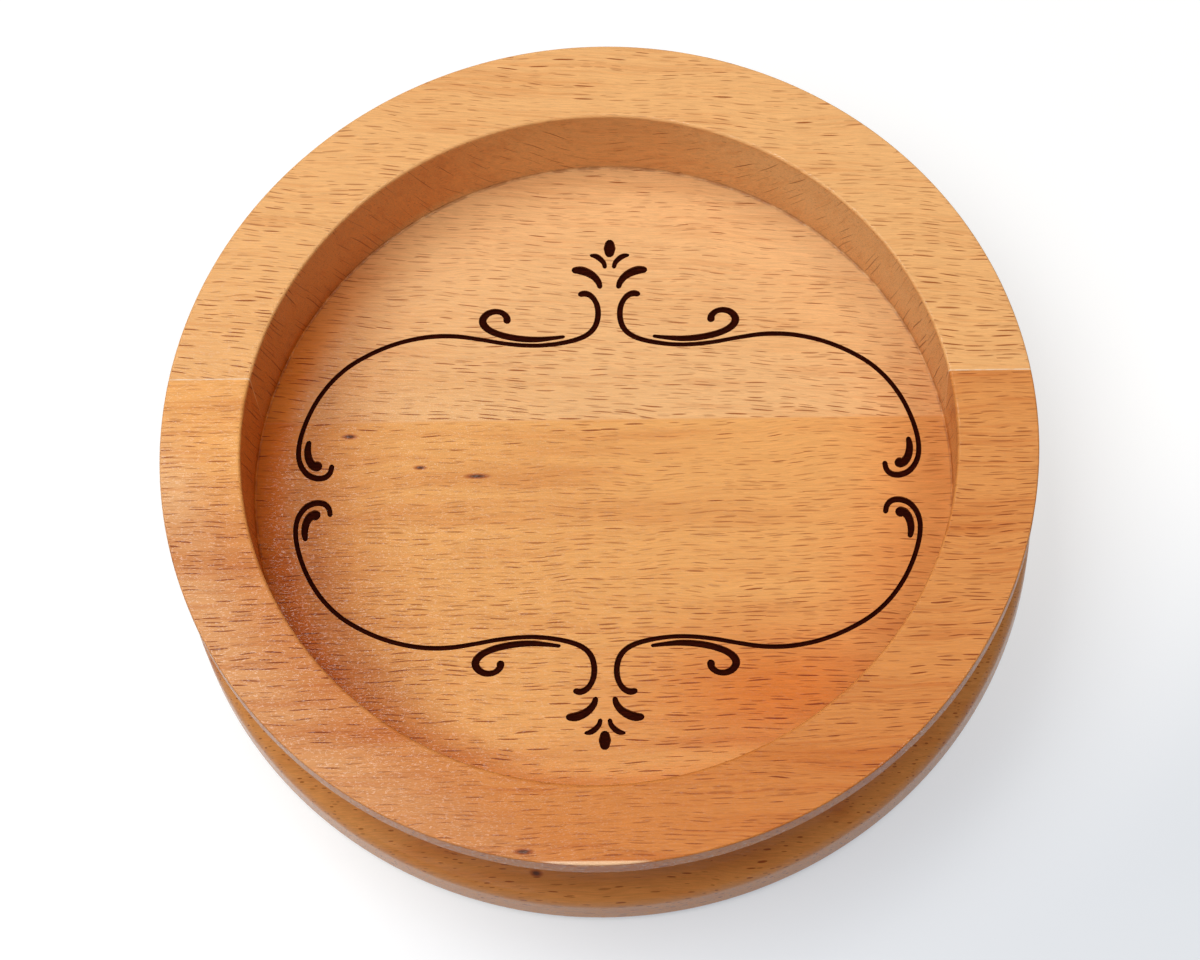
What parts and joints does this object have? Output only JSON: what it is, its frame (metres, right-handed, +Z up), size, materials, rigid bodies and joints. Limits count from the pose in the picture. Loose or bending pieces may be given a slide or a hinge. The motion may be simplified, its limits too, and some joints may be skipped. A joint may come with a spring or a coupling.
{
  "type": "bottle coaster",
  "caption": "Round turned wooden coaster with a deep flat recess that a wine bottle stands in, a hollow cove round its side, an edge-glued joint and a felt base.",
  "frame": {"origin": "on the turning axis, on the table under the felt", "axes": "+Z up along the turning axis, +X along the grain and the glue joint, +Y towards the paler board"},
  "size_m": [0.13, 0.13, 0.03],
  "materials": {
    "pale_beech": "satin lacquer over flat-sawn beech",
    "red_beech": "satin lacquer over flat-sawn beech",
    "white_glue": "dried white wood glue, turned flush",
    "felt": "pressed wool felt",
    "adhesive": "clear adhesive film"
  },
  "bodies": {
    "root": {"back_stave": "pale_beech", "front_stave": "red_beech", "glue_line": "white_glue", "base_felt": "felt", "felt_adhesive": "adhesive"}
  },
  "joints": []
}
